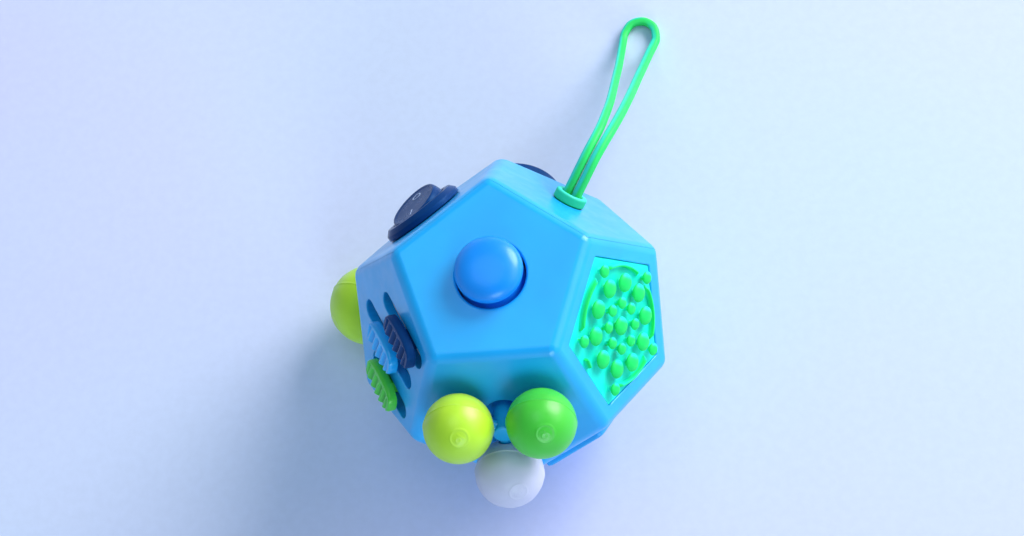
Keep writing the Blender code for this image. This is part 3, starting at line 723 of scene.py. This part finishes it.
def openings_of(face):
    """The cutters for what goes through a face's wall."""
    if face == "joystick":
        made = [(hole_cutter("stick_hole", circle_shape(STICK_HOLE, 96), 0.6), FACE[face])]
    elif face == "spinner":
        made = [(hole_cutter("hub_hole", circle_shape(HUB_HOLE), 0.35), FACE[face])]
    elif face == "bristle":
        made = [(hole_cutter("pad_hole", rounded_pentagon(PAD_APOTHEM, 0.5), 0.3), FACE[face])]
    elif face == "slider":
        made = []
        for color, (across, low, high, _) in SLIDERS.items():
            cutter = hole_cutter("slot_" + color, slot_shape(low, high, SLOT_HALF), 0.3)
            made.append((cutter, at(SLOTS_FRAME, (0, across, 0))))
    elif face == "rocker":
        place = at(FACE[face], (ROCKER_ACROSS, 0, 0))
        made = [(hole_cutter("rocker_hole", circle_shape(8.9), 0.1), place)]
    elif face == "lanyard":
        made = [(hole_cutter("cord_hole", circle_shape(3.4), 0.2), FACE[face])]
    elif face == "dial":
        made = [(hole_cutter("shaft_hole", circle_shape(2.3), 0.3), FACE[face])]
    elif face == "ball":
        made = [(hole_cutter("post_hole", circle_shape(2.2), 0.2), FACE[face])]
    elif face == "button":
        made = []
        for k, (x, y) in enumerate(circle_places(5, BUTTON_ORBIT, 90)):
            cutter = hole_cutter(f"button_hole_{k}", circle_shape(BUTTON + 0.3, 48), 0.4)
            made.append((cutter, at(FACE[face], (x, y, 0))))
    elif face == "wheel":
        made = []
        half = WHEEL_THICK / 2 + 0.3
        for k in range(3):
            cutter = hole_cutter(f"wheel_slot_{k}", rectangle(half, 6.7, 0.4), 0.3)
            made.append((cutter, at(FACE[face], ((k - 1) * WHEEL_PITCH, 0, 0))))
    elif face == "base":
        made = [(hole_cutter("spin_hole", circle_shape(13.4, 96), 0.3), FACE[face])]
    else:
        made = []
    for cutter, matrix in made:
        cutter.matrix_world = matrix
    return [cutter for cutter, _ in made]


def make_shells():
    """The two hollow bowls, with their openings."""
    for name, faces in (("shell_front", FRONT_BOWL), ("shell_back", BACK_BOWL)):
        shell = dodecahedron(name + "_skin", INRADIUS)
        bevel = shell.modifiers.new("Round", "BEVEL")
        bevel.width = EDGE_ROUND * MM
        bevel.segments = 10
        cavity = dodecahedron("cavity", INRADIUS - WALL)
        half = bowl("half", faces, SEAM)
        cutters = [cutter for face in faces for cutter in openings_of(face)]
        boolean(shell, [cavity], "DIFFERENCE")
        boolean(shell, [half], "INTERSECT")
        boolean(shell, cutters, "DIFFERENCE")
        settle(shell, [cavity, half, *cutters], angle=28, weighted=True)
        put(shell, Matrix.Identity(4), "root", "shell", name)


# ---------------------------------------------------------------- upper faces


def make_joystick():
    """The soft cap, and under it the ball-shaped skirt with the stem and the pin that it tilts on."""
    pivot = at(FACE["joystick"], (0, 0, -6.0))
    ball = 8.1
    profile = dome(7.8, 8.6, 12.2, 2.4, 40)
    profile += [(7.72, 8.2), (7.35, 7.95), (6.4, 7.5), (2.3, 7.5), (2.3, 10.3), (0, 10.3)]
    put(revolve("joystick_top", profile, 128), pivot, "joystick_stick", "joystick", "joystick_cap")
    skirt = [(sqrt(ball**2 - h * h), h) for h in [6.9 - 4.3 * i / 30 for i in range(31)]]
    stem = [(0, 10.0), (2.0, 10.0), (2.0, skirt[0][1])] + skirt
    stem += [(7.2, 2.6), (6.8, 3.9), (2.0, 3.9), (2.0, -2.2), (2.6, -2.2), (2.6, -2.8), (0, -2.8)]
    body = revolve("joystick_neck", stem, 96)
    pin = rod("pin", 0.9, (0, -5.6, 0), (0, 5.6, 0))
    put(joined("joystick_dome", [body, pin]), pivot, "joystick_stick", "joystick", "joystick_stem")


LINE_HEIGHT = 0.14


def ridge(distance, height, half_width):
    """The rise of a rounded ridge at a distance from its middle."""
    return height * max(0.0, 1 - (distance / half_width) ** 2)


def moulded_ball(name, radius, gate, bore, line_normal=(0, 0, 1)):
    """A bored ball with a raised parting line, and a ring round two small marks at its gate."""
    gate, line_normal = Vector(gate).normalized(), Vector(line_normal).normalized()
    across = gate.orthogonal().normalized()
    along = gate.cross(across)
    bm = bmesh.new()
    bmesh.ops.create_uvsphere(bm, u_segments=200, v_segments=120, radius=1)
    turned = line_normal.to_track_quat("Z", "Y").to_matrix().to_4x4()
    bmesh.ops.transform(bm, verts=bm.verts, matrix=turned)
    for vertex in bm.verts:
        here = vertex.co.normalized()
        rise = ridge(pi / 2 - here.angle(line_normal), LINE_HEIGHT, 0.03)
        off = here.angle(gate) * radius
        rise += ridge(off - 2.1, 0.10, 0.3)
        if off < 1.9:
            x, y = here.dot(across) * radius, here.dot(along) * radius
            rise += ridge(x - 0.5, 0.05, 0.22) * (abs(y) < 1.0)
            rise += ridge(sqrt((x + 0.5) ** 2 + y**2) - 0.55, 0.05, 0.2)
        rise += 0.02 * sin(here.x * 9 + here.y * 5) * cos(here.z * 7 + here.x * 4)
        vertex.co = here * (radius - LINE_HEIGHT + rise) * MM
    orb = mesh_object(name, bm, 60)
    cutter = rod("bore", *bore)
    boolean(orb, [cutter], "DIFFERENCE")
    settle(orb, [cutter], 40)
    return orb


BALL = 8.06
BALL_ORBIT = 10.8
BALL_HEIGHT = 8.4
ARM_HEIGHT = 4.6


def make_spinner():
    """Three balls on the arms of one post."""
    base = FACE["spinner"]
    hub = [(0, 6.4), (2.5, 6.4), (2.5, -2.8), (6.5, -2.8), (6.5, -4.2), (2.5, -4.2), (2.5, -9.6)]
    hub += [(1.2, -9.6), (1.2, -4.5), (0, -4.5)]
    pieces = [revolve("post", filleted(hub, 0.7, 6), 72)]
    balls = {
        "lime": (150, (0.154, 0.52, 0.84)),
        "green": (30, (0.20, 0.49, 0.85)),
        "white": (270, (0.315, 0.21, 0.925)),
    }
    for name, (angle, gate) in balls.items():
        x, y = cos(radians(angle)), sin(radians(angle))
        tip = (x * BALL_ORBIT, y * BALL_ORBIT, ARM_HEIGHT)
        pieces.append(rod("arm_" + name, 1.4, (0, 0, ARM_HEIGHT), tip))
        drop = ARM_HEIGHT - BALL_HEIGHT
        bore = (1.7, (-x * 12, -y * 12, drop), (x * 0.3, y * 0.3, drop), 40)
        orb = moulded_ball("spinner_ball_" + name, BALL, gate, bore)
        centre = (x * BALL_ORBIT, y * BALL_ORBIT, BALL_HEIGHT)
        put(orb, at(base, centre), "spinner", name, "ball_" + name)
    put(joined("spinner_post", pieces), base, "spinner", "shell", "spinner_hub")


def mushroom(radius, top, stem, low):
    """A bristle: a round cap with a crisp rim and a flat underside, on a thin stem."""
    rim = top - radius * 0.5
    profile = dome(radius, rim, top, 2.0, 16)
    profile += [(radius * 0.97, rim - 0.08), (radius * 0.86, rim - 0.12), (radius * 0.8, rim - 0.42)]
    profile += [(stem * 1.2, rim - 0.5), (stem, rim - 0.7), (stem, low + 0.2)]
    profile += [(stem * 1.3, low), (0, low - 0.4)]
    return revolve("head", profile, 36, angle=50)


def pad_ridge(k, shift, reach, base):
    """A low round-topped wall on part of a circle, reach degrees to each side of its middle."""
    radius = 13.9
    rings = []
    middle = 90 + 72 * k + shift
    for i in range(33):
        angle = radians(middle - reach + 2 * reach * i / 32)
        rise = 1.3 * min(1.0, 0.25 + min(i, 32 - i) / 3)
        inner = ((-0.45, -0.4), (-0.4, rise * 0.7), (-0.2, rise))
        outer = ((0.2, rise), (0.4, rise * 0.7), (0.45, -0.4))
        ring = []
        for across, height in inner + outer:
            reached = radius + across
            ring.append((reached * cos(angle), reached * sin(angle), base + height))
        rings.append(ring)
    return loft(f"ridge_{k}", rings, 40)


def make_bristle_pad():
    """The pad's floor, its broken round ridge and its bristles."""
    top = -0.3
    outline = rounded_pentagon(PAD_APOTHEM - 0.06, 0.5)
    layers = [(-3.7, 1.6), (-2.6, 1.6), (-2.55, 0), (top - 0.15, 0), (top, -0.15)]
    pieces = [layered("floor", outline, layers)]
    large = [(0, 0)] + circle_places(10, 9.94, 18)
    small = circle_places(8, 5.24, 26.7)
    corner = circle_places(5, 14.56, 54)
    for radius, height, places in ((2.2, 2.2, large), (1.4, 2.15, small), (1.5, 2.0, corner)):
        for x, y in places:
            head = mushroom(radius, height, 0.85 if radius > 2 else 0.6, top)
            lean = 3.0 * sin(x * 1.7 + y * 2.3)
            head.matrix_world = at(Matrix.Identity(4), (x, y, 0), lean * 20, lean)
            pieces.append(head)
    for k in range(5):
        pieces.append(pad_ridge(k, -12 if k == 1 else 0, 5 if k == 1 else 27, top))
    pad = joined("bristle_mat", pieces)
    # Painted light: the bristles and ridges turn turquoise where they face the window lamp and stay
    # green elsewhere as painted shade; the floor and the feet of the bristles are turquoise all over,
    # their own colour
    light = FACE["bristle"].to_3x3().inverted() @ Vector((0.69, 0.60, 0.41))

    def lit(place, normal):
        if place.z < (top + 0.2) * MM:
            return 1.0
        return (normal.dot(light) - 0.72) / 0.2

    mix_and_painted_light(pad, lit)
    put(pad, FACE["bristle"], "root", "pad", "bristle_pad")


def make_slider_knob(color, rest, across):
    """A rounded oval with ribs over one side of its crown and a plain band down the other."""
    length, width, low, high = 14.2, 7.2, 0.9, 3.0
    material = {"blue": "shell", "black": "switch", "green": "green"}[color]
    slant, pitch, power = radians(80), 2.35, 2.8

    def half_width(x):
        return max(0.3, width / 2 * max(0.0, 1 - abs(2 * x / length) ** power) ** (1 / power))

    def height_at(x, y):
        edge = min(half_width(x) - abs(y), (length / 2 - abs(x)) * 1.2)
        fall = 0.6 * max(0.0, 1 - edge / 0.6) ** 2 + 0.16 * max(0.0, (y - 0.6) / 3) ** 2
        phase = (x * sin(slant) - y * cos(slant)) / pitch
        groove = 0.8 * (1 - (0.5 + 0.5 * cos(2 * pi * phase)) ** 0.7)
        ribbed = max(0.0, min(1.0, (2.3 - y) / 0.6))
        ribbed *= max(0.0, min(1.0, (length / 2 - 1.2 - abs(x)) / 0.6))
        return high - fall - groove * ribbed

    bm = bmesh.new()
    rows, columns = 161, 61
    grid = []
    for i in range(rows):
        x = length / 2 * sin(pi / 2 * (2 * i / (rows - 1) - 1))
        row = []
        for k in range(columns):
            y = sin(pi / 2 * (2 * k / (columns - 1) - 1)) * half_width(x)
            row.append(bm.verts.new((x * MM, y * MM, height_at(x, y) * MM)))
        grid.append(row)
    for i in range(rows - 1):
        for k in range(columns - 1):
            bm.faces.new((grid[i][k], grid[i + 1][k], grid[i + 1][k + 1], grid[i][k + 1]))
    rim = [row[0] for row in grid] + grid[-1][1:]
    rim += [row[-1] for row in grid[-2::-1]] + grid[0][-2:0:-1]
    lower = [bm.verts.new((v.co.x, v.co.y, low * MM)) for v in rim]
    for i in range(len(rim)):
        j = (i + 1) % len(rim)
        bm.faces.new((rim[i], lower[i], lower[j], rim[j]))
    bm.faces.new(lower)
    pieces = [mesh_object("crown", bm, 50), box("neck", (-1.6, -1.8, -4.2), (1.6, 1.8, 1.6))]
    knob = joined("slider_grip_" + color, pieces)
    put(knob, at(SLOTS_FRAME, (rest, across, 0)), "slider_" + color, material, "slider_knob_" + color)


def make_rocker():
    """A round rocker switch: its bezel, the tilted button and the two marks on it."""
    pivot = at(FACE["rocker"], (ROCKER_ACROSS, 0, 1.4), 234)
    inner = 7.4
    profile = [(inner, 2.7), (9.0, 2.7), (10.1, 1.5), (10.1, 0.2), (8.6, 0.2), (8.6, -12.0), (0, -12.0)]
    profile = [(0, -10.8), (inner, -10.8)] + profile
    profile = [(radius, height - 1.4) for radius, height in profile]
    ring = revolve("rocker_bezel", filleted(profile, 0.3, 4), 128)
    put(ring, pivot, "root", "switch", "rocker_housing")

    tilted = at(pivot, tilt=-16)
    side = [(sqrt(7.1**2 - h * h), h) for h in [2.69 - 5.19 * i / 30 for i in range(31)]]
    crown = [(0, 2.66), (side[0][0] - 1.2, 2.76), (side[0][0] - 0.5, 2.94), (side[0][0] - 0.2, 2.9)]
    leg = [(1.7, -2.5), (1.7, -5.0), (1.1, -5.0), (1.1, -1.2), (0, -1.2)]
    pieces = [revolve("button", filleted(crown, 0.3, 3) + side + leg, 128, angle=28)]
    pieces.append(rod("pins", 0.8, (0, -8.1, 0), (0, 8.1, 0)))
    put(joined("rocker_button", pieces), tilted, "rocker", "switch", "rocker_paddle")
    mark = [(0.88, 0), (0.88, 0.12), (1.16, 0.12), (1.16, 0)]
    ring_mark = revolve("rocker_mark_o", mark, 64, closed=True)
    ring_mark.data.transform(Matrix.Diagonal((0.85, 1.15, 1, 1)))
    put(ring_mark, at(tilted, (3.4, 0, 2.66)), "rocker", "marks", slot="white")
    bar = layered("rocker_mark_i", rectangle(0.14, 1.1, 0.05), [(0, 0), (0.12, 0)])
    put(bar, at(tilted, (-3.2, 0, 2.68), 90), "rocker", "marks", slot="white")


# ---------------------------------------------------------------- lower faces


def make_dial():
    """A smooth round knob with a dished top, a fine line round its side and a pointer mark."""
    base = FACE["dial"]
    profile = [(0, 11.7), (7.4, 11.7), (8.2, 12.15), (10.4, 12.15), (12.0, 10.8), (12.2, 6.6)]
    profile += [(12.05, 6.3), (12.2, 6.0), (12.2, 1.4), (11.8, 0.6), (2.3, 0.6), (2.3, 8.0), (0, 8.0)]
    put(revolve("dial_grip", filleted(profile, 0.9, 8), 160), base, "dial", "switch", "dial_knob")
    pointer = layered("pointer", rectangle(0.4, 2.4, 0.3), [(0, 0), (0.14, 0), (0.18, -0.05)])
    put(pointer, at(base, (0, 4.2, 11.68)), "dial", "marks", slot="white")


def make_thumb_ball():
    """The large ball, and the collar that its post leaves by."""
    base = FACE["ball"]
    height = 13.6
    bore = (2.3, (0, 0, -height), (0, 0, 4.7), 48)
    orb = moulded_ball("thumb_sphere", 10.1, (0.7, 0.5, 0.5), bore, (1, 0.2, 0))
    put(orb, at(base, (0, 0, height)), "thumb_ball", "lime", "thumb_ball")
    collar = [(2.2, 2.0), (3.8, 2.0), (3.8, 0.2), (2.2, 0.2)]
    ring = revolve("thumb_ball_collar", filleted(collar, 0.5, 5, closed=True), 72, closed=True)
    put(ring, base, "root", "switch", "ball_collar")


def make_buttons():
    """Five dished push buttons on a circle."""
    materials = ("switch", "lime", "green", "pad", "white")
    for k, (x, y) in enumerate(circle_places(5, BUTTON_ORBIT, 90)):
        profile = [(0, 1.75), (1.4, 1.8), (2.0, 1.95), (2.5, 2.0), (3.0, 1.75), (BUTTON, 1.2)]
        profile += [(BUTTON, -2.6), (BUTTON + 0.8, -2.6), (BUTTON + 0.8, -3.5), (0, -3.5)]
        cap = revolve(f"push_button_{k + 1}", filleted(profile, 0.5, 5), 64)
        if materials[k] == "pad":
            mix_and_painted_light(cap, lambda _, n: 0.8)
        put(cap, at(FACE["button"], (x, y, 0)), f"button_{k + 1}", materials[k], f"button_{k + 1}")


def make_thumb_plate():
    """A raised oblong plate with rounded corners and a round thumb hollow."""
    top, half_length, half_width, count = 2.2, 13.8, 9.0, 120
    hollow_radius, hollow_centre = 30.0, 31.3

    def outline(offset):
        points = []
        for i in range(count):
            x, y = cos(2 * pi * i / count), sin(2 * pi * i / count)
            across, up = abs(x) / (half_length + offset), abs(y) / (half_width + offset)
            reach = (across**16 + up**16) ** (-1 / 16)
            points.append((reach * x, reach * y))
        return points

    layers = edge_layers(0.2, top, 0, 0.7, 6)
    rings = [[(x, y, height) for x, y in outline(offset)] for height, offset in layers]
    edge = rings[-1]
    for t in (0.25, 0.5, 0.75, 1.0):
        ring = []
        for x, y, _ in edge:
            radius = sqrt(x * x + y * y)
            reach = radius + (7.5 - radius) * t
            ring.append((reach * x / radius, reach * y / radius, top))
        rings.append(ring)
    for i in range(14):
        radius = 7.2 * (1 - i / 14)
        height = min(hollow_centre - sqrt(hollow_radius**2 - radius**2), top)
        ring = []
        for x, y, _ in edge:
            share = radius / sqrt(x * x + y * y)
            ring.append((x * share, y * share, height))
        rings.append(ring)
    put(loft("thumb_rest", rings, 30), at(FACE["thumb"], turn=-54), "root", "shell", "thumb_plate")


def make_wheels():
    """Three toothed wheels on one axle, half sunk in their slots."""
    count = 192

    def outline(offset):
        points = []
        for i in range(count):
            angle = 2 * pi * i / count
            wave = cos(angle * 8)
            radius = 6.15 + 0.35 * max(-1.0, min(1.0, wave * 2.2)) + offset
            points.append((radius * cos(angle), radius * sin(angle)))
        return points

    for k, material in enumerate(("lime", "switch", "white")):
        layers = edge_layers(-WHEEL_THICK / 2, WHEEL_THICK / 2, 0.35, 0.35, 4)
        wheel = layered(f"gear_wheel_{k + 1}", outline, layers, 30)
        bore = rod("bore", 1.3, (0, 0, -3), (0, 0, 3))
        boolean(wheel, [bore], "DIFFERENCE")
        settle(wheel, [bore], 30)
        matrix = at(FACE["wheel"], ((k - 1) * WHEEL_PITCH, 0, -4.0), tilt=90)
        put(wheel, matrix, f"wheel_{k + 1}", material, f"wheel_{k + 1}")


def make_base():
    """The ring that turns under the toy, with three dimples, and the boss inside it."""
    base = FACE["base"]
    profile = [(7.3, -0.4), (13.1, -0.4), (13.1, -2.6), (14.4, -2.6), (14.4, -3.8), (7.3, -3.8)]
    ring = revolve("spin_disc", filleted(profile, 0.3, 4, closed=True), 128, closed=True)
    cutters = []
    for k, (x, y) in enumerate(circle_places(3, 10.2, 90)):
        bm = bmesh.new()
        bmesh.ops.create_uvsphere(bm, u_segments=48, v_segments=32, radius=3.2 * MM)
        bmesh.ops.translate(bm, verts=bm.verts, vec=Vector((x, y, 2.0)) * MM)
        cutters.append(mesh_object(f"dimple_{k}", bm))
    boolean(ring, cutters, "DIFFERENCE")
    settle(ring, cutters, 30)
    put(ring, base, "spin_ring", "switch", "spin_ring")
    cap = [(0, 0), (6.9, 0), (6.9, -3.8), (1.3, -3.8), (1.3, -1.5), (0, -1.5)]
    put(revolve("base_boss", filleted(cap, 0.4, 5), 96), base, "root", "shell", "base_cap")


def dress_inner_nodes():
    """Gives each of the frame's own solids its slot's material."""
    slots = {part["node"]: part["material_slot"] for part in frame["record"]["subparts"]}
    for name, node in frame["nodes"].items():
        node.data.materials.clear()
        node.data.materials.append(MATERIALS[slots[name]])


# ---------------------------------------------------------------- table and light


def make_table():
    bm = bmesh.new()
    bmesh.ops.create_grid(bm, x_segments=8, y_segments=8, size=3.0)
    table = mesh_object("table", bm)
    table.location = (0, 0, -0.00005)
    table.data.materials.append(table_material())


def add_area(name, direction, distance, size, power, color):
    """A round lamp in a direction from the toy, turned towards it: metres and watts."""
    direction = Vector(direction).normalized()
    data = bpy.data.lights.new(name, "AREA")
    data.shape = "DISK"
    data.size = size
    data.energy = power
    data.color = color
    lamp = bpy.data.objects.new(name, data)
    lamp.location = direction * distance + Vector((0, 0, 0.03))
    lamp.rotation_mode = "QUATERNION"
    lamp.rotation_quaternion = direction.to_track_quat("Z", "Y")
    bpy.context.scene.collection.objects.link(lamp)


def make_lights():
    add_area("window", (0.69, 0.60, 0.48), 1.6, 1.05, 33, (1.0, 0.96, 0.93))
    add_area("side", (0.85, 0.05, 0.62), 1.7, 1.2, 5, (1.0, 0.93, 1.0))
    add_area("top", (-0.1, 0.15, 1.0), 1.8, 1.4, 7, (0.70, 0.84, 0.95))
    add_area("front", (0.25, -0.95, 0.45), 1.8, 0.9, 12, (0.72, 0.92, 1.0))
    world = bpy.data.worlds.new("studio")
    world.use_nodes = True
    tree = world.node_tree
    place = tree.nodes.new("ShaderNodeTexCoord")
    split = tree.nodes.new("ShaderNodeSeparateXYZ")
    ramp = tree.nodes.new("ShaderNodeValToRGB")
    ramp.color_ramp.elements[0].position = 0.0
    ramp.color_ramp.elements[0].color = (0.98, 0.98, 1.05, 1)
    ramp.color_ramp.elements[1].position = 0.7
    ramp.color_ramp.elements[1].color = (0.15, 0.26, 0.36, 1)
    tree.links.new(place.outputs["Generated"], split.inputs[0])
    tree.links.new(split.outputs["Z"], ramp.inputs[0])
    back = tree.nodes["Background"]
    back.inputs["Strength"].default_value = 0.62
    tree.links.new(ramp.outputs["Color"], back.inputs["Color"])
    bpy.context.scene.world = world


make_cord()
make_shells()
make_joystick()
make_spinner()
make_bristle_pad()
for color, (across, _, _, rest) in SLIDERS.items():
    make_slider_knob(color, rest, across)
make_rocker()
make_dial()
make_thumb_ball()
make_buttons()
make_thumb_plate()
make_wheels()
make_base()
dress_inner_nodes()
make_table()
make_lights()
bpy.context.scene.view_settings.view_transform = "Standard"

bpy.context.view_layer.update()
